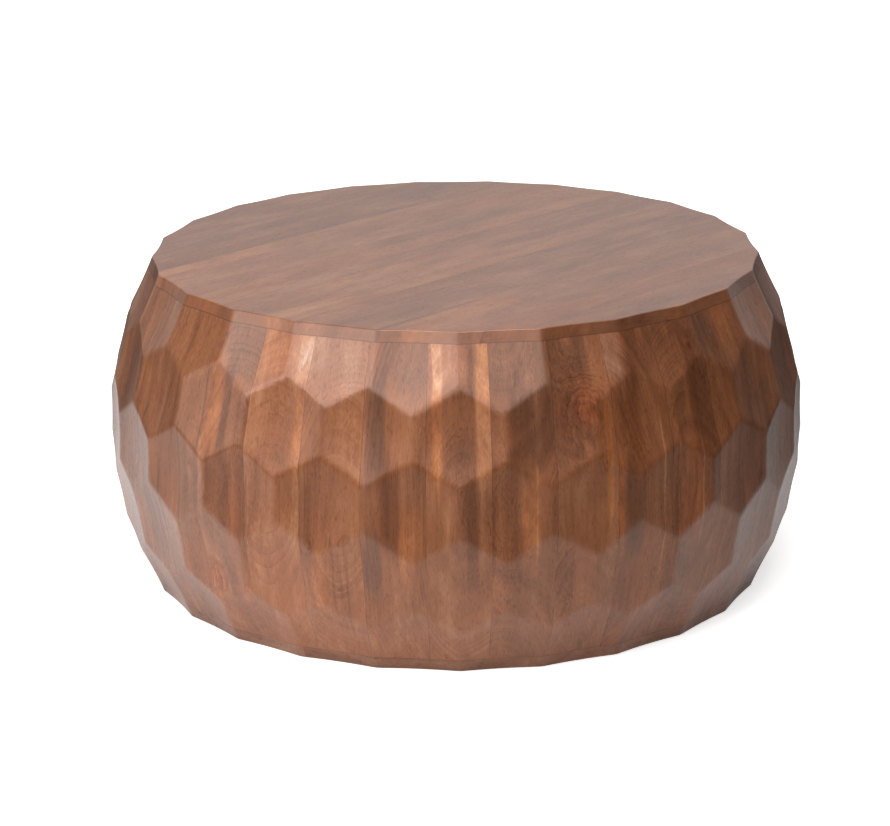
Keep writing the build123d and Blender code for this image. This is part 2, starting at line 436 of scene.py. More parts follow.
# The staves that face the front, by number: 1 is in the middle, and they count on to the right.
stave_looks = {
    30: looks(0.02, -0.2, (0.1, -0.08), stripes=[(0.0, 0.02, -0.08, 0.02, 0.14)]),
    31: looks(0.03, -0.3, (-0.11, -0.06), knots=[(-0.032, -0.02, 0.006)], stripes=[
        (0.012, 0.016, -0.1, -0.1, -0.03, -1.4), (-0.018, 0.012, 0.07, 0.05, 0.13, 0.4),
        (0.01, 0.008, 0.06, 0.06, 0.14, 0.5), (0.034, 0.002, -0.13, -0.09, 0.02),
    ]),
    32: looks(0.0, 0.0, (-0.1, -0.07), lean=1.0, knots=[(0.0225, 0.031, 0.005)], stripes=[
        (0.001, 0.0012, -0.1, -0.1, 0.06), (-0.012, 0.003, -0.1, 0.05, 0.2),
        (0.012, 0.016, 0.03, -0.08, 0.07, -0.5),
    ]),
    33: looks(0.0, 0.1, (0.012, 0.055), lean=0.5, stripes=[
        (-0.0275, 0.007, 0.22, -0.015, 0.045, 0.2), (-0.021, 0.014, 0.1, 0.045, 0.16, 0.7),
        (0.0005, 0.006, -0.12, 0.045, 0.155, -0.2), (0.029, 0.008, -0.11, 0.035, 0.145),
        (0.006, 0.03, -0.11, -0.055, 0.04), (0.01, 0.028, -0.04, 0.155, 0.21, -1.2),
    ], knots=[(-0.017, -0.106, 0.01), (0.03, -0.111, 0.003), (-0.018, 0.185, 0.002)]),
    34: looks(0.05, 0.2, (0.0, 0.055), stripes=[
        (0.0265, 0.01, 0.17, 0.148, 0.21, -0.4), (0.03, 0.007, 0.08, 0.06, 0.148, 0.5),
        (-0.036, 0.002, -0.12, -0.05, 0.05), (-0.01, 0.02, 0.03, 0.15, 0.21, 0.3),
    ]),
    35: looks(0.04, 0.1, (0.02, 0.07), lean=1.0, stripes=[
        (-0.005, 0.04, 0.04, 0.145, 0.21, -0.9), (-0.0285, 0.0035, -0.09, -0.05, 0.05),
        (0.002, 0.0014, -0.12, -0.12, -0.04), (0.018, 0.002, -0.12, -0.14, -0.03),
        (0.009, 0.0012, -0.09, -0.11, -0.05), (-0.016, 0.007, 0.06, -0.12, -0.05, 0.3),
    ], knots=[(0.034, 0.186, 0.003), (-0.026, -0.038, 0.003)]),
    36: looks(0.01, -0.1, (0.13, 0.05), lean=-0.6, knots=[(-0.008, -0.179, 0.003)], stripes=[
        (-0.0215, 0.0095, -0.12, 0.052, 0.156, -1.6), (-0.004, 0.012, -0.15, -0.045, 0.068, 0.3),
        (0.0215, 0.015, 0.03, -0.075, 0.03, 0.45), (0.036, 0.0022, -0.14, -0.045, 0.07),
        (-0.026, 0.01, -0.09, -0.095, -0.03, -1.4), (0.01, 0.03, -0.06, 0.15, 0.21, -1.4),
    ]),
    1: looks(0.03, 0.0, (0.004, 0.045), knots=[(-0.015, -0.176, 0.0025), (0.002, 0.11, 0.003)], stripes=[
        (-0.0235, 0.0055, 0.24, 0.142, 0.21), (-0.0245, 0.005, 0.12, 0.035, 0.142, 0.5),
        (0.001, 0.019, -0.13, 0.052, 0.15, 0.0), (0.013, 0.0032, -0.14, 0.14, 0.21),
        (0.0285, 0.0085, 0.16, 0.035, 0.21, 0.5), (0.016, 0.0065, -0.19, -0.065, 0.05),
    ]),
    2: looks(-0.01, -0.1, (-0.02, -0.07), stripes=[
        (0.014, 0.03, -0.14, 0.06, 0.15, -0.4), (-0.016, 0.009, -0.1, -0.055, 0.065),
        (0.006, 0.011, 0.08, -0.055, 0.06, 0.7), (0.0135, 0.0009, 0.14, -0.05, 0.06),
        (-0.036, 0.0018, -0.13, -0.06, 0.015), (0.0, 0.04, 0.01, 0.145, 0.21, -1.3),
    ]),
    3: looks(-0.02, -0.1, (0.0, -0.05), stripes=[
        (-0.014, 0.026, -0.1, 0.15, 0.21, -0.8), (-0.02, 0.018, -0.14, 0.075, 0.15, -0.3),
        (-0.024, 0.01, -0.09, -0.12, -0.04), (0.028, 0.004, 0.08, 0.02, 0.14, 0.6),
    ], knots=[(0.002, 0.13, 0.016), (0.022, 0.062, 0.005), (-0.022, -0.176, 0.003)]),
    4: looks(-0.05, 0.2, (-0.1, 0.06), lean=0.8, knots=[(-0.034, 0.182, 0.003)], stripes=[
        (0.025, 0.0012, 0.16, -0.07, 0.115), (-0.014, 0.014, -0.12, 0.08, 0.155),
        (-0.016, 0.012, -0.06, -0.05, 0.05, -1.0), (-0.034, 0.003, 0.12, -0.05, 0.06, 0.6),
        (-0.026, 0.012, 0.14, 0.145, 0.21, -1.2), (0.02, 0.03, -0.09, 0.165, 0.21, -0.2),
    ]),
    5: looks(-0.06, -0.1, (0.006, 0.055), lean=1.5, knots=[(0.017, 0.17, 0.008)], stripes=[
        (-0.0275, 0.0011, 0.13, -0.09, 0.085, 0.4), (0.0085, 0.0011, 0.15, -0.06, 0.075, 0.4),
        (-0.01, 0.014, 0.03, -0.05, 0.075, 0.3), (0.02, 0.018, -0.1, 0.06, 0.16, -0.2),
        (-0.008, 0.03, -0.08, 0.17, 0.21, -0.3),
    ]),
    6: looks(-0.05, 0.0, (0.12, -0.07), stripes=[
        (0.02, 0.012, 0.06, 0.15, 0.21, 0.3), (-0.016, 0.018, -0.1, 0.148, 0.21, -0.8),
        (-0.03, 0.008, 0.1, -0.045, 0.045),
    ]),
    7: looks(-0.04, -0.1, (-0.12, -0.06), stripes=[(0.012, 0.01, 0.05, 0.04, 0.12, 0.4)]),
    8: looks(-0.02, -0.2, (0.1, 0.08)),
}

# The planks, from the front right to the back left.
plank_looks = {
    1: looks(-0.02, 0.05, (0.05, -0.11), lean=0.6, stripes=[
        (0.01, 0.03, 0.03, -0.1, 0.2, -0.5), (0.046, 0.004, -0.06, -0.2, 0.1),
    ]),
    2: looks(0.04, -0.4, (0.02, -0.08), lean=0.8, stripes=[
        (-0.03, 0.011, -0.09, -0.1, 0.15, 0.3), (0.022, 0.02, 0.03, -0.3, -0.12, 0.6),
        (0.044, 0.002, -0.12, -0.36, -0.15), (0.0, 0.008, -0.05, 0.0, 0.22),
    ]),
    3: looks(0.04, -0.6, (-0.06, -0.1), lean=-0.5, stripes=[
        (0.039, 0.007, -0.12, -0.26, -0.03, 0.4), (-0.01, 0.02, -0.05, -0.38, -0.2),
        (-0.018, 0.006, -0.05, 0.04, 0.3),
    ]),
    4: looks(0.06, -0.3, (0.08, -0.09), lean=0.4, stripes=[
        (-0.018, 0.01, 0.03, -0.38, -0.25, 0.5), (0.01, 0.012, -0.05, 0.05, 0.4, -0.6),
        (0.044, 0.003, -0.06, -0.15, 0.1),
    ]),
    5: looks(0.06, -0.2, (-0.03, -0.12), lean=0.5, stripes=[
        (-0.021, 0.003, -0.08, -0.14, 0.38), (-0.008, 0.009, 0.06, 0.1, 0.27, 0.3),
        (0.03, 0.012, -0.03, -0.05, 0.2, -0.5),
    ]),
    6: looks(0.07, -0.1, (0.07, -0.09), lean=-0.6, knots=[(0.026, 0.035, 0.004)], stripes=[
        (0.03, 0.016, 0.04, -0.35, -0.14, 0.5), (-0.01, 0.018, -0.05, 0.16, 0.36, 0.5),
        (0.018, 0.005, -0.12, -0.38, -0.28),
    ]),
    7: looks(0.04, -0.4, (-0.08, -0.1), lean=0.6, stripes=[
        (-0.034, 0.015, -0.08, -0.32, -0.02), (0.02, 0.014, -0.04, -0.1, 0.3),
    ]),
    8: looks(0.05, -0.4, (0.04, -0.09), stripes=[(0.0, 0.02, -0.04, -0.25, 0.0)]),
}

# The base boards are mauve, and a few are lighter or darker than the rest.
base_warmth = -0.9
base_tone = 0.03
base_tones = {1: 0.00, 9: 0.08}


def set_vectors(data, name, values):
    """Stores a vector for each vertex under a name that a material can read."""
    layer = data.attributes.new(name, "FLOAT_VECTOR", "POINT")
    layer.data.foreach_set("vector", [number for value in values for number in value])


def board_matrix(middle, across, through, along):
    """The matrix from the drum's frame to a board's own, whose axes are given."""
    turn = Matrix((across, through, along)).to_4x4()
    return turn @ Matrix.Translation(-middle)


def mark_wood(made, board, seams, wood, figure):
    """Gives a piece its own wood.

    board is the matrix from the drum to the board: x across it, y through it and z along the grain.
    seams are three planes (point, normal into the piece) where it meets its neighbours."""
    data = made.data
    points = [vertex.co.copy() for vertex in data.vertices]
    local = [board @ point for point in points]
    lean, slant = radians(wood["lean"]), radians(wood["slant"])
    tilt = Matrix.Rotation(lean, 4, "X") @ Matrix.Rotation(slant, 4, "Y")
    pith = Vector((*wood["pith"], 0))
    set_vectors(data, "board", local)
    set_vectors(data, "grain", [tilt @ (point - pith) for point in local])
    set_vectors(data, "seams", [[(point - at) @ facing for at, facing in seams] for point in points])
    for name, value in {"figure": figure, **wood["marks"]}.items():
        set_vectors(data, name, [value] * len(points))


def wooden_piece(mesh, kind, node, board, seams, wood, figure=plain_figure, sharp_angle=40.0):
    """The finished object of a wooden piece, with its own wood."""
    made = finished_object(mesh, kind, node, sharp_angle)
    mark_wood(made, board, seams, wood, figure)
    return made


# A piece's first material is on its outside. These are the places of its others.
bare_face = 1
end_face = 2


# ---- staves


def stave_outside(shell_faces):
    """The carved outside of one stave as a mesh of its own."""
    stave = bmesh.new()
    copies = {}
    for face in shell_faces:
        for vertex in face.verts:
            if vertex not in copies:
                copies[vertex] = stave.verts.new(vertex.co)
        stave.faces.new([copies[vertex] for vertex in face.verts]).smooth = True
    return stave


def make_stave(number, shell_faces):
    """One stave: its carved outside, and flat joints and a curved inside behind it."""
    azimuth = front_azimuth + (number - 1) * stave_pitch
    half = stave_pitch / 2
    left, right = around(azimuth - half), around(azimuth + half)
    turned = around(azimuth + 90)
    stave = stave_outside(shell_faces)
    border = {vertex for edge in stave.edges if edge.is_boundary for vertex in edge.verts}
    near = 1e-5

    def side_chain(side):
        """The outside's border on one joint, from below upwards."""
        chain = [vertex for vertex in border if abs(vertex.co.x * side.y - vertex.co.y * side.x) < near]
        return sorted(chain, key=lambda vertex: vertex.co.z)

    def end_chain(height):
        """The outside's border at one end, from left to right."""
        chain = [vertex for vertex in border if abs(vertex.co.z - height) < near]
        return sorted(chain, key=lambda vertex: vertex.co.dot(turned))

    def inner_edge(side):
        """The inside's edge on one joint, from below upwards."""
        column = []
        for level in range(inner_levels + 1):
            height = wall_bottom + (wall_top - wall_bottom) * level / inner_levels
            reach = inner_radius(height) / cos(radians(half))
            column.append(stave.verts.new(side * reach + up(height)))
        return column

    inner_left, inner_right = inner_edge(left), inner_edge(right)
    for wall in (
        side_chain(left) + inner_left[::-1],
        inner_right + side_chain(right)[::-1],
        end_chain(wall_top) + [inner_right[-1], inner_left[-1]],
        [inner_left[0], inner_right[0]] + end_chain(wall_bottom)[::-1],
    ):
        stave.faces.new(wall)
    for level in range(inner_levels):
        quad = (inner_left[level], inner_left[level + 1], inner_right[level + 1], inner_right[level])
        stave.faces.new(quad).material_index = bare_face
    belly = around(azimuth) * belly_radius + up(belly_height)
    board = board_matrix(belly, turned, around(azimuth), up(1))
    sides = around(azimuth - half + 90), around(azimuth + half - 90)
    seams = [(Vector(), sides[0]), (Vector(), sides[1]), (up(wall_top), up(-1))]
    wood = stave_looks.get(number) or plain_looks()
    return wooden_piece(stave, "carved", f"stave_{number:02d}", board, seams, wood)


def make_staves():
    """All staves from one shell, so that ridges run on from stave to stave."""
    shell = block.copy()
    caps = [face for face in shell.faces if abs(face.normal.z) > 0.9]
    bmesh.ops.delete(shell, geom=caps, context="FACES_ONLY")
    cut(shell, up(wall_top), up(1), fill=False)
    cut(shell, up(wall_bottom), up(-1), fill=False)
    groups = {number: [] for number in range(1, stave_count + 1)}
    for face in shell.faces:
        middle = face.calc_center_median()
        azimuth = degrees(atan2(middle.y, middle.x))
        number = round((azimuth - front_azimuth) / stave_pitch) % stave_count + 1
        groups[number].append(face)
    made = [make_stave(number, faces) for number, faces in groups.items()]
    shell.free()
    return made


# ---- tabletop planks


def make_planks():
    """The tabletop planks, cut from one slab so that the rim runs on from plank to plank."""
    slab = slice_of_block(wall_top, table_height)
    ease_rim(slab, table_height, rim_ease)
    edges = [-belly_radius, *plank_seams, belly_radius]
    made = []
    for number, (near_edge, far_edge) in enumerate(zip(edges, edges[1:]), start=1):
        seams = [
            (plank_across * near_edge, plank_across),
            (plank_across * far_edge, -plank_across),
            (up(wall_top), up(1)),
        ]
        plank = piece_between(slab, seams)
        plank.normal_update()
        for face in plank.faces:
            if abs(face.normal.z) < 0.7:
                face.material_index = end_face
            elif face.normal.z < 0:
                face.material_index = bare_face
        middle = plank_across * (near_edge + far_edge) / 2 + up(table_height)
        board = board_matrix(middle, plank_across, up(1), plank_along)
        wood = plank_looks[number]
        made.append(wooden_piece(plank, "shaped", f"top_plank_{number}", board, seams, wood, plank_figure))
    slab.free()
    return made


# ---- screws


def batten_length(place):
    """The longest batten that fits inside the upper hoop at a place along the planks."""
    reach = hoop_inner_radius - batten_end_gap
    return 2 * sqrt(reach**2 - (abs(place) + batten_width / 2) ** 2)


def batten_screw_places(place):
    """A batten's screws: one in the middle of each plank that it crosses far enough."""
    middles = [(near + far) / 2 for near, far in zip(plank_seams, plank_seams[1:])]
    furthest = batten_length(place) / 2 - screw_edge_distance
    return [
        place * plank_along + middle * plank_across + up(batten_bottom + screw_recess)
        for middle in middles
        if abs(middle) < furthest
    ]


def screw_holes(screw, places):
    """Round countersunk holes for screws with their heads down."""
    head = screw["head"] / 2 + screw_clearance
    shank = screw["diameter"] / 2 + screw_clearance
    profile = [
        (head, -2 * screw_recess),
        (head, screw_head_rim),
        (shank, screw_head_rim + head - shank),
        (shank, screw["length"] + screw_clearance),
    ]
    holes = bmesh.new()
    for at in places:
        rings = lathe(holes, profile, screw_sides, at)
        holes.faces.new(rings[0])
        holes.faces.new(rings[-1])
    return holes


def drive_outline(mesh, head, at, height, scale):
    """The corners of a cross recess."""
    arm, slot = drive_arm * 2 * head * scale, drive_slot * 2 * head * scale
    corners = []
    for quarter in range(4):
        outwards, aside = around(90 * quarter), around(90 * quarter + 90)
        corners += [arm * outwards - slot * aside, arm * outwards + slot * aside, slot * (outwards + aside)]
    return [mesh.verts.new(at + corner + up(height)) for corner in corners]


def add_screw(mesh, screw, at):
    """A countersunk wood screw, head down, with a cross recess and a thread that fades to a point."""
    head, shank = screw["head"] / 2, screw["diameter"] / 2
    root = shank - thread_depth
    taper_end = screw_head_rim + head - shank
    thread_start = taper_end + 2 * thread_pitch
    collar = [(head, 0), (head, screw_head_rim), (shank, taper_end), (root, thread_start)]
    rings = lathe(mesh, collar, screw_sides, at)
    rows = round((screw["length"] - thread_start - thread_pitch) / thread_pitch * thread_rows)
    below = rings[-1]
    for row in range(1, rows + 1):
        turns_left = (rows - row) / thread_rows
        height = thread_start + row * thread_pitch / thread_rows
        ring = []
        for step in range(screw_sides):
            phase = (row / thread_rows + step / screw_sides) % 1.0
            crest = max(0.0, 1 - 4 * abs(phase - 0.5)) * min(1.0, turns_left / 3)
            radius = root * min(1.0, 0.25 + turns_left / 4) + thread_depth * crest
            ring.append(mesh.verts.new(at + on_circle(radius, step / screw_sides, height)))
        join_rings(mesh, below, ring)
        below = ring
    tip = mesh.verts.new(at + up(screw["length"]))
    for corner, after in neighbours(below):
        mesh.faces.new((corner, after, tip))
    cross = drive_outline(mesh, head, at, 0, 1)
    deep = drive_outline(mesh, head, at, drive_depth, drive_taper)
    rim_edges = [mesh.edges.get(ends) for ends in neighbours(rings[0])]
    cross_edges = [mesh.edges.new(ends) for ends in neighbours(cross)]
    bmesh.ops.triangle_fill(mesh, edges=rim_edges + cross_edges, use_beauty=True)
    join_rings(mesh, cross, deep)
    mesh.faces.new(deep)


def make_screws(node, screw, places):
    """A group of like screws."""
    group = bmesh.new()
    for at in places:
        add_screw(group, screw, at)
    return finished_object(group, "threaded", node, sharp_angle=30.0)


# ---- base boards


def make_base():
    """The base boards, mitred end to end, their inner edges straight, with their screw holes."""
    slab = slice_of_block(0, wall_bottom)
    ease_rim(slab, 0, rim_ease)
    ease_rim(slab, wall_bottom, joint_ease)
    made = []
    for number in range(1, base_segment_count + 1):
        first = base_joint_azimuth + (number - 1) * base_pitch
        last = first + base_pitch
        outwards = around((first + last) / 2)
        seams = [(Vector(), around(first + 90)), (Vector(), around(last - 90)), (up(wall_bottom), up(-1))]
        segment = piece_between(slab, seams)
        cut(segment, outwards * base_inner_distance, -outwards)
        corner = outwards * (base_inner_distance + base_inner_chamfer)
        cut(segment, corner, (-outwards - up(1)).normalized())
        index = (number - 1) * base_screws_per_segment
        places = base_screw_places[index : index + base_screws_per_segment]
        segment = drilled(segment, screw_holes(base_screw, places))
        segment.normal_update()
        for face in segment.faces:
            if face.normal.z < -0.9:
                face.material_index = bare_face
        middle = outwards * facet_radius(row_tilts[-1], 0) + up(wall_bottom / 2)
        board = board_matrix(middle, outwards, up(1), around((first + last) / 2 + 90))
        wood = plain_looks(base_tones.get(number, base_tone), base_warmth)
        made.append(wooden_piece(segment, "shaped", f"base_segment_{number}", board, seams, wood))
    slab.free()
    return made


# ---- hoops and battens


def runs_round(edge):
    """Whether an edge runs level round the drum and not towards its axis."""
    first, second = (vertex.co for vertex in edge.verts)
    return abs(first.z - second.z) < 1e-6 and abs(first.xy.length - second.xy.length) < 1e-6


def make_hoop(node, bottom):
    """A plywood ring inside the staves, its edges eased."""
    top = bottom + hoop_thickness
    corners = [
        (hoop_inner_radius, bottom),
        (inner_radius(bottom) - glue_gap, bottom),
        (inner_radius(top) - glue_gap, top),
        (hoop_inner_radius, top),
    ]
    hoop = bmesh.new()
    rings = lathe(hoop, corners, hoop_steps, Vector())
    join_rings(hoop, rings[-1], rings[0])
    eased(hoop, [edge for edge in hoop.edges if runs_round(edge)], edge_ease, edge_ease_segments)
    return finished_object(hoop, "plywood", node)


def make_battens():
    """The battens under the planks, their lower edges chamfered, with their screw holes."""
    made = []
    far_seam = (up(-1), up(1))
    for number, place in enumerate(batten_places, start=1):
        batten = bmesh.new()
        bmesh.ops.create_cube(batten, size=1)
        middle = place * plank_along + up(wall_top - batten_thickness / 2)
        axes = Matrix((plank_along, plank_across, up(1))).transposed()
        size = Matrix.Diagonal((batten_width, batten_length(place), batten_thickness))
        batten.transform(Matrix.Translation(middle) @ (axes @ size).to_4x4())
        lower = [edge for edge in batten.edges if all(v.co.z < batten_bottom + 1e-6 for v in edge.verts)]
        eased(batten, lower, batten_chamfer, 1)
        corners = [edge for edge in batten.edges if edge.calc_length() > batten_thickness / 2]
        eased(batten, corners, edge_ease, edge_ease_segments)
        batten = drilled(batten, screw_holes(batten_screw, batten_screw_places(place)))
        board = board_matrix(middle, plank_along, up(1), plank_across)
        seams, wood = [far_seam] * 3, plain_looks()
        made.append(
            wooden_piece(batten, "planed", f"batten_{number}", board, seams, wood, sharp_angle=35.0)
        )
    return made


# ---- materials


class Graph:
    """Adds nodes to a material or the world and joins them, a call for each node."""

    def __init__(self, name, kind="materials"):
        self.owner = getattr(bpy.data, kind).new(name)
        self.owner.use_nodes = True
        self.tree = self.owner.node_tree
        self.tree.nodes.clear()

    def node(self, kind, inputs=None, output=0, **settings):
        made = self.tree.nodes.new(kind)
        for name, value in settings.items():
            setattr(made, name, value)
        for socket, value in (inputs or {}).items():
            target = made.inputs[socket]
            if isinstance(value, bpy.types.NodeSocket):
                self.tree.links.new(value, target)
            else:
                target.default_value = value
        return made.outputs[output] if made.outputs else made

    def attribute(self, name):
        return self.node("ShaderNodeAttribute", output="Vector", attribute_name=name)

    def parts(self, vector):
        apart = self.tree.nodes.new("ShaderNodeSeparateXYZ")
        self.tree.links.new(vector, apart.inputs[0])
        return list(apart.outputs)

    def mark(self, name):
        """The three numbers of a vector that is stored on the mesh."""
        return self.parts(self.attribute(name))

    def vector(self, x, y, z):
        return self.node("ShaderNodeCombineXYZ", {0: x, 1: y, 2: z})

    def math(self, operation, *values):
        return self.node("ShaderNodeMath", dict(enumerate(values)), operation=operation)

    def joined(self, operation, *values):
        return reduce(partial(self.math, operation), values)

    plus = partialmethod(joined, "ADD")
    times = partialmethod(joined, "MULTIPLY")
    largest = partialmethod(joined, "MAXIMUM")
    minus = partialmethod(math, "SUBTRACT")
    over = partialmethod(math, "DIVIDE")
    fraction = partialmethod(math, "FRACT")

    def vector_math(self, operation, *values, output=0):
        inputs = dict(enumerate(values))
        return self.node("ShaderNodeVectorMath", inputs, output=output, operation=operation)

    scaled = partialmethod(vector_math, "MULTIPLY")

    def length(self, vector):
        return self.vector_math("LENGTH", vector, output="Value")

    def step(self, value, low, high, low_out=0.0, high_out=1.0):
        """A smooth step from low_out to high_out as the value goes from low to high."""
        inputs = {0: value, 1: low, 2: high, 3: low_out, 4: high_out}
        return self.node("ShaderNodeMapRange", inputs, interpolation_type="SMOOTHSTEP")

    def fade(self, value, low, high):
        """A smooth step down from 1 to 0 as the value goes from low to high."""
        return self.step(value, low, high, 1.0, 0.0)

    def noise(self, vector, scale, detail, roughness=0.5, output="Fac"):
        inputs = {"Vector": vector, "Scale": scale, "Detail": detail, "Roughness": roughness}
        return self.node("ShaderNodeTexNoise", inputs, output=output)

    def line_noise(self, place, scale, detail, roughness=0.5):
        inputs = {"W": place, "Scale": scale, "Detail": detail, "Roughness": roughness}
        return self.node("ShaderNodeTexNoise", inputs, noise_dimensions="1D")

    def mix(self, factor, first, second):
        inputs = {0: factor, 6: first, 7: second}
        return self.node("ShaderNodeMix", inputs, output=2, data_type="RGBA")

    def ramp(self, value, stops):
        """Colours at places from 0 to 1, blended between."""
        made = self.tree.nodes.new("ShaderNodeValToRGB")
        elements = made.color_ramp.elements
        while len(elements) < len(stops):
            elements.new(0.5)
        for element, (place, colour) in zip(elements, stops):
            element.position = place
            element.color = (*colour, 1)
        self.tree.links.new(value, made.inputs[0])
        return made.outputs[0]

    def bump(self, height, strength, distance):
        return self.node("ShaderNodeBump", {"Strength": strength, "Distance": distance, "Height": height})

    def surface(self, shader, kind="ShaderNodeOutputMaterial"):
        self.node(kind, {"Surface": shader})
        return self.owner


# A board is about a third as varied through its depth as across it.
depth_share = 0.3

# How softly a stripe begins and ends along the board, and its sides: a share of its width and a least.
stripe_fade = 0.024
stripe_softness = 0.22
stripe_least_softness = 0.0012

# The colours of the heartwood from its darkest streaks to its palest wood, and how light it is on the whole.
wood_colours = [
    (0.00, (0.030, 0.009, 0.004)),
    (0.22, (0.085, 0.025, 0.009)),
    (0.42, (0.190, 0.062, 0.023)),
    (0.60, (0.320, 0.112, 0.044)),
    (0.80, (0.470, 0.205, 0.095)),
    (1.00, (0.640, 0.380, 0.230)),
]
wood_light = 0.56
untinted = (1, 1, 1, 1)
mauve_tint = (0.80, 0.88, 1.06, 1)
orange_tint = (1.14, 0.96, 0.70, 1)
red_knot_tint = (1.12, 0.93, 0.88)
# The glue lines' colour, which is also the painted shade in the groove where a piece meets the one above or
# below.
glue_and_shade_colour = (0.022, 0.010, 0.007, 1)

# A clear coat. The wood under it is a little metallic, so that its sheen has the wood's own colour.
lacquer = {"IOR": 1.3, "Metallic": 0.26, "Coat Weight": 1.0, "Coat Roughness": 0.25, "Coat IOR": 1.5}


class WoodGraph(Graph):
    """A wood material's nodes, whose noises, knots and stripes follow each board."""

    def __init__(self, name):
        super().__init__(name)
        self.board = self.attribute("board")
        self.across, _, self.along = self.parts(self.board)
        self.tone, self.warmth, self.seed = self.mark("character")
        self.shift = self.scaled(self.vector(self.seed, self.seed, self.seed), (17.3, 9.1, 5.7))

    def grain_noise(self, vector, across, along, detail, roughness=0.5, output="Fac"):
        """A noise that is longer along the grain, and longer through than across it."""
        stretched = self.scaled(vector, (across, depth_share * across, along))
        return self.noise(self.vector_math("ADD", stretched, self.shift), 1.0, detail, roughness, output)

    def moved(self, vector, colour, size):
        """A place moved by a colour noise, up to about half a size each way."""
        offset = self.scaled(self.vector_math("SUBTRACT", colour, (0.5, 0.5, 0.5)), (size, size, 0))
        return self.vector_math("ADD", vector, offset)

    def swing(self, value, amount, middle=0.5):
        """How far a noise is from its middle, times an amount."""
        return self.times(self.minus(value, middle), amount)

    def knot(self, slot, wobble):
        """How far a knot pushes the rings aside and how near it is, and its heart, which is dark in a
        small knot and red in a big one."""
        knot_across, knot_along, size = self.mark(f"knot_{slot}")
        x = self.over(self.minus(self.across, knot_across), size)
        y = self.over(self.minus(self.along, knot_along), size)
        away = self.length(self.vector(x, self.times(y, 0.6), 0.0))
        away = self.plus(away, self.times(wobble, 0.7))
        near = self.fade(away, 0.6, 2.8)
        big = self.step(size, 0.006, 0.014)
        dark = self.times(self.fade(away, 0.35, 0.85), self.minus(1.0, big))
        red = self.times(self.fade(away, 0.7, 1.7), big)
        return self.times(near, size, 1.6), near, dark, red

    def stripe(self, slot, sway, end_wander, depth):
        """How much lighter or darker a stripe makes the wood here, and its change of hue."""
        place, half_width, change = self.mark(f"stripe_{slot}")
        low, high, hue = self.mark(f"stripe_reach_{slot}")
        off = self.math("ABSOLUTE", self.plus(self.minus(self.across, place), sway))
        softness = self.plus(self.times(half_width, stripe_softness), stripe_least_softness)
        past_side = self.over(self.minus(off, half_width), softness)
        along = self.plus(self.along, end_wander)
        inside = self.times(
            self.fade(past_side, -1.0, 1.0),
            self.step(self.minus(along, low), -stripe_fade, stripe_fade),
            self.step(self.minus(high, along), -stripe_fade, stripe_fade),
            depth,
        )
        return self.times(inside, change), self.times(inside, hue)

    def glue_and_groove_shade_line(self):
        """Fine glue lines where the piece meets its neighbours at both sides, broken up along their length,
        and a fainter line where it meets the piece above or below, glue and painted shade of the groove
        there."""
        first_side, second_side, flat_side = self.mark("seams")
        strength = self.step(self.noise(self.board, 22.0, 1.0), 0.42, 0.66, 0.05, 0.55)
        side_line = self.fade(self.math("MINIMUM", first_side, second_side), 0.0002, 0.0006)
        # Glue and painted shade of the groove where the piece meets the piece above or below.
        flat_glue_and_shade_line = self.step(flat_side, 0.0002, 0.0009, 0.42, 0.0)
        return self.largest(self.times(side_line, strength), flat_glue_and_shade_line)


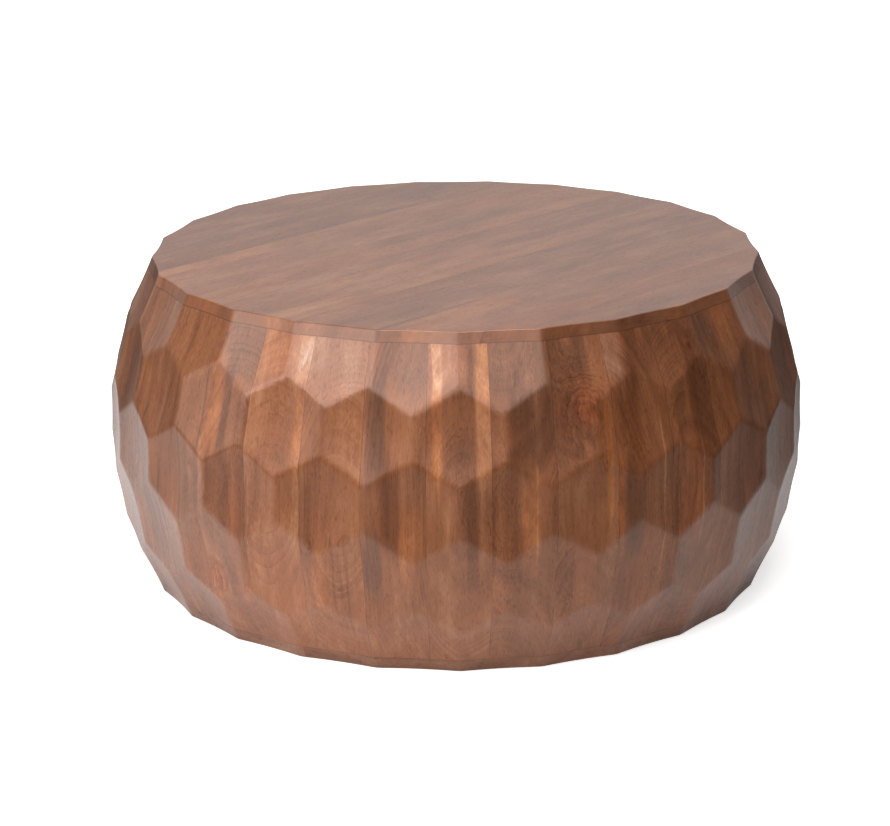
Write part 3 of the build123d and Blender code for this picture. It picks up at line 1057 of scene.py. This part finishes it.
def wood_material(name, brightness=0.0, roughness=0.42, bump=0.12):
    """Lacquered or bare hardwood, whose rings, fibres, pores, streaks and knots follow each board."""
    graph = WoodGraph(name)
    plus, times, swing, grain_noise = graph.plus, graph.times, graph.swing, graph.grain_noise
    grain = graph.attribute("grain")
    bent = graph.moved(grain, grain_noise(grain, 7.0, 2.6, 1.0, output="Color"), 0.030)
    bent = graph.moved(bent, grain_noise(grain, 45.0, 7.0, 2.0, output="Color"), 0.0022)

    wobble = grain_noise(graph.board, 160.0, 90.0, 2.0)
    pushes, nears, darks, reds = zip(*[graph.knot(slot, wobble) for slot in range(knot_slots)])
    knot_near, knot_dark, knot_red = graph.largest(*nears), graph.largest(*darks), graph.largest(*reds)

    u, v, _ = graph.parts(bent)
    ring_place = plus(graph.length(graph.vector(u, v, 0.0)), *pushes, graph.seed)
    bands = graph.line_noise(ring_place, 120.0, 3.0, 0.62)
    ring_count = plus(times(ring_place, 210.0), times(bands, 3.0))
    late = graph.math("POWER", graph.fraction(ring_count), 4.0)

    streaks = grain_noise(bent, 42.0, 1.1, 3.0, 0.55)
    fine_streaks = grain_noise(bent, 170.0, 7.0, 2.0)
    fibre = grain_noise(bent, 720.0, 190.0, 2.0, 0.7)
    clouds = grain_noise(bent, 34.0, 11.0, 2.0)
    curl = grain_noise(bent, 150.0, 55.0, 3.0, 0.6)
    pores = graph.step(grain_noise(bent, 600.0, 130.0, 0.0), 0.58, 0.80)

    # Stripes sway across the board, end unevenly, and are mottled.
    sway = swing(fine_streaks, 0.006)
    end_wander = plus(swing(streaks, 0.10), swing(fine_streaks, 0.05))
    depth = plus(swing(clouds, 1.5), swing(curl, 1.3), 0.85)
    stripes = [graph.stripe(slot, sway, end_wander, depth) for slot in range(stripe_slots)]
    stripe_changes, stripe_hues = zip(*stripes)

    # Rings, curl and fibres are plain to see here and hardly there. Round a knot they are plainest.
    streaky, ringed, curly = graph.mark("figure")
    lively = grain_noise(graph.board, 24.0, 9.0, 2.0, output="Color")
    ringed_part, curly_part, open_part = graph.parts(lively)
    drawn = times(graph.step(ringed_part, 0.46, 0.64, 0.02, 0.10), graph.minus(0.2, late))
    rings = plus(swing(bands, 0.18), drawn)
    ringed = plus(ringed, times(knot_near, 1.2))
    curly = plus(times(curly, graph.step(curly_part, 0.40, 0.65, 0.4, 1.6)), times(knot_near, 3.0))
    fibres = times(swing(fibre, 1.0), graph.step(open_part, 0.38, 0.62, 0.12, 0.36))
    lines = plus(swing(streaks, 0.24), swing(fine_streaks, 0.12), fibres, swing(pores, -0.07, 0.1))
    light = plus(
        graph.tone,
        wood_light + brightness,
        times(rings, ringed),
        times(lines, streaky),
        times(swing(curl, 0.17), curly),
        swing(clouds, 0.34),
        times(knot_dark, -0.24),
        times(knot_near, -0.05),
        times(knot_red, 0.03),
        *stripe_changes,
    )
    colour = graph.ramp(light, wood_colours)

    # Orange or mauve from place to place.
    hue = swing(grain_noise(bent, 22.0, 1.6, 1.0), 1.6)
    hue = plus(hue, graph.warmth, times(knot_near, 0.45), *stripe_hues)
    mauve = graph.mix(graph.step(hue, 0.0, -0.8), untinted, mauve_tint)
    orange = graph.mix(graph.step(hue, 0.0, 0.8), untinted, orange_tint)
    colour = graph.scaled(colour, graph.scaled(mauve, orange))
    colour = graph.mix(knot_red, colour, graph.scaled(colour, red_knot_tint))
    # Glue lines at the joints, with painted shade in the groove where pieces meet above or below.
    colour = graph.mix(graph.glue_and_groove_shade_line(), colour, glue_and_shade_colour)

    relief = plus(swing(fibre, 0.4), times(pores, -1.0), times(late, 0.3))
    rough = plus(swing(streaks, 0.10), times(pores, 0.12), roughness)
    normal = graph.bump(relief, bump, 0.0004)
    inputs = {"Base Color": colour, "Roughness": rough, "Normal": normal, **lacquer}
    return graph.surface(graph.node("ShaderNodeBsdfPrincipled", inputs))


ply_thickness = 0.0018
ply_glue_colour = (0.12, 0.07, 0.04, 1)


def plywood():
    """Plies a little apart in colour, their grain crosswise by turns, with dark glue between."""
    graph = Graph("plywood")
    place = graph.node("ShaderNodeTexCoord", output="Object")
    ply = graph.over(graph.parts(place)[2], ply_thickness)
    crosswise = graph.math("GREATER_THAN", graph.fraction(graph.times(ply, 0.5)), 0.5)
    long_grain = graph.noise(graph.scaled(place, (9, 260, 260)), 1.0, 3.0)
    cross_grain = graph.noise(graph.scaled(place, (260, 9, 260)), 1.0, 3.0)
    long_ply = graph.ramp(long_grain, [(0.3, (0.40, 0.27, 0.15)), (0.7, (0.56, 0.41, 0.25))])
    cross_ply = graph.ramp(cross_grain, [(0.3, (0.30, 0.19, 0.10)), (0.7, (0.42, 0.28, 0.16))])
    colour = graph.mix(crosswise, long_ply, cross_ply)
    off_middle = graph.math("ABSOLUTE", graph.minus(graph.fraction(ply), 0.5))
    glue = graph.step(off_middle, 0.44, 0.49)
    colour = graph.mix(graph.times(glue, 0.6), colour, ply_glue_colour)
    normal = graph.bump(graph.minus(long_grain, glue), 0.3, 0.0003)
    inputs = {"Base Color": colour, "Roughness": 0.7, "Normal": normal}
    return graph.surface(graph.node("ShaderNodeBsdfPrincipled", inputs))


def screw_metal():
    """Zinc-plated steel, a little yellow and dull in places."""
    graph = Graph("screw_metal")
    cloud = graph.noise(graph.node("ShaderNodeTexCoord", output="Object"), 420.0, 3.0)
    colour = graph.ramp(cloud, [(0.3, (0.52, 0.46, 0.34)), (0.7, (0.70, 0.66, 0.56))])
    dull = graph.step(cloud, 0.3, 0.7, 0.42, 0.28)
    normal = graph.bump(cloud, 0.15, 0.0001)
    inputs = {"Base Color": colour, "Metallic": 1.0, "Roughness": dull, "Normal": normal}
    return graph.surface(graph.node("ShaderNodeBsdfPrincipled", inputs))


# ---- the drum


def finish_pieces(pieces, *materials):
    """Gives pieces their materials, the outside's first."""
    for piece in pieces:
        for material in materials:
            piece.data.materials.append(material)


lacquered_wood = wood_material("lacquered_wood")
end_wood = wood_material("end_wood", brightness=-0.07)
bare_wood = wood_material("bare_wood", brightness=0.14, roughness=0.75, bump=0.25)

finish_pieces(make_staves() + make_base(), lacquered_wood, bare_wood)
finish_pieces(make_planks(), lacquered_wood, bare_wood, end_wood)
hoop_bottoms = {"upper_hoop": wall_top - hoop_thickness, "lower_hoop": wall_bottom}
finish_pieces([make_hoop(*hoop) for hoop in hoop_bottoms.items()], plywood())
finish_pieces(make_battens(), bare_wood)
all_batten_screws = [at for place in batten_places for at in batten_screw_places(place)]
screw_groups = [
    make_screws("base_screws", base_screw, base_screw_places),
    make_screws("batten_screws", batten_screw, all_batten_screws),
]
finish_pieces(screw_groups, screw_metal())


# ---- floor, light and camera

floor_radius = 7.0
floor_sides = 96
floor_gap = 0.0002
floor_colour = (0.9, 0.9, 0.9, 1)
# Seen by all but the camera: a painted pool of light round the drum, painted shade further off, and a faint
# painted glow in the pool.
painted_shade_floor_colour = (0.08, 0.08, 0.08, 1)
painted_light_pool_centre = Vector((-0.25, 0.15, 0))
painted_light_pool_edge = (0.45, 1.5)
painted_light_pool_glow = 0.03
floor_lift = (0.62, 1.1)
floor_lift_reach = (0.6, 1.6)

# The world's light by facing: from the back, from above and from below, and how strong each is.
bright_azimuth = 92.0
bright_edge = (0.2, 0.85)
bright_strength = (0.03, 0.48)
ceiling_edge = (0.05, 0.60)
ceiling_strength = 0.10
under_edge = (-0.2, -0.7)
under_strength = 0.8

# Each lamp's azimuth from the front (to the right), elevation, distance, width, height and brightness.
lamp_target = up(0.25)
lamps = {
    "key_light": (-46, 31, 2.6, 2.5, 1.5, 3.1),
    "front_light": (4, 31, 2.6, 2.0, 1.5, 1.6),
    "low_light": (-74, 7, 2.6, 1.7, 0.9, 1.2),
    "overhead_light": (8, 70, 2.4, 1.75, 1.3, 6.0),
}

# The camera, found by fitting the drum's outline to the photograph. Its azimuth is from the front.
camera_azimuth = -0.358
camera_distance = 3.35707
camera_height = 1.26262
camera_yaw = 0.118
camera_pitch = -17.70
camera_roll = -0.44
camera_lens = 112.43
camera_sensor = 36.0


def make_floor():
    """A pale floor, white to the camera but for the drum's shadow. For all but the camera it has a painted
    pool of light round the drum and painted shade further off, which the drum's gloss and bounce light
    take up, as on a small table in a dark studio, and the pool has a faint painted glow. It is clear
    from below, so that the drum's underside can be looked at."""
    disc = bmesh.new()
    bmesh.ops.create_circle(disc, cap_ends=True, segments=floor_sides, radius=floor_radius)
    for face in disc.faces:
        if face.normal.z < 0:
            face.normal_flip()
    floor = add_mesh("floor", disc)
    floor.location.z = -floor_gap
    graph = Graph("pale_floor")
    place = graph.node("ShaderNodeTexCoord", output="Object")
    # A painted pool of light round the drum, fading to painted shade further off, for all but the camera.
    away = graph.length(graph.vector_math("SUBTRACT", place, painted_light_pool_centre))
    reach = graph.fade(away, *painted_light_pool_edge)
    painted_pool_colour = graph.mix(reach, painted_shade_floor_colour, floor_colour)
    for_camera = graph.node("ShaderNodeLightPath", output="Is Camera Ray")
    matt = graph.node("ShaderNodeBsdfDiffuse", {"Color": graph.mix(for_camera, painted_pool_colour, floor_colour)})
    lift = graph.times(for_camera, graph.step(graph.length(place), *floor_lift_reach, *floor_lift))
    # A faint painted glow in the painted pool of light, for all rays.
    lift = graph.largest(lift, graph.times(reach, painted_light_pool_glow))
    glow = graph.node("ShaderNodeEmission", {"Strength": lift})
    both = graph.node("ShaderNodeAddShader", {0: matt, 1: glow})
    clear = graph.node("ShaderNodeBsdfTransparent")
    from_below = graph.node("ShaderNodeNewGeometry", output="Backfacing")
    shader = graph.node("ShaderNodeMixShader", {0: from_below, 1: both, 2: clear})
    floor.data.materials.append(graph.surface(shader))


def make_world():
    """White behind the object for the camera. For all else a bright back, and light above and below."""
    graph = Graph("studio", "worlds")
    facing = graph.node("ShaderNodeTexCoord", output="Generated")
    towards_back = graph.vector_math("DOT_PRODUCT", facing, around(bright_azimuth), output="Value")
    upwards = graph.parts(facing)[2]
    studio = graph.plus(
        graph.step(towards_back, *bright_edge, *bright_strength),
        graph.step(upwards, *ceiling_edge, 0.0, ceiling_strength),
        graph.step(upwards, *under_edge, 0.0, under_strength),
    )
    for_camera = graph.node("ShaderNodeLightPath", output="Is Camera Ray")
    strength = graph.largest(for_camera, studio)
    background = graph.node("ShaderNodeBackground", {"Color": (1, 1, 1, 1), "Strength": strength})
    bpy.context.scene.world = graph.surface(background, "ShaderNodeOutputWorld")


def make_camera():
    """The photograph's view: low in front, a long lens."""
    data = bpy.data.cameras.new("camera")
    data.sensor_fit = "HORIZONTAL"
    data.sensor_width = camera_sensor
    data.lens = camera_lens
    camera = add_object("camera", data)
    place = around(front_azimuth + camera_azimuth) * camera_distance + up(camera_height)
    yaw = Matrix.Rotation(radians(-camera_yaw), 4, "Z")
    pitch = Matrix.Rotation(radians(90 + camera_pitch), 4, "X")
    roll = Matrix.Rotation(radians(camera_roll), 4, "Z")
    camera.matrix_world = Matrix.Translation(place) @ yaw @ pitch @ roll
    bpy.context.scene.camera = camera


def make_lamp(name, azimuth, elevation, distance, width, height, brightness):
    """An area lamp that the camera doesn't see. The brightness is that of its face, where 1 is white."""
    data = bpy.data.lights.new(name, "AREA")
    data.shape = "RECTANGLE"
    data.size = width
    data.size_y = height
    data.energy = brightness * pi * width * height
    lamp = add_object(name, data)
    away = around(front_azimuth + azimuth) * cos(radians(elevation)) + up(sin(radians(elevation)))
    lamp.location = lamp_target + distance * away
    lamp.rotation_euler = (-away).to_track_quat("-Z", "Y").to_euler()
    lamp.visible_camera = False


make_floor()
make_world()
make_camera()
for name, settings in lamps.items():
    make_lamp(name, *settings)

bpy.context.scene.view_settings.view_transform = "Standard"
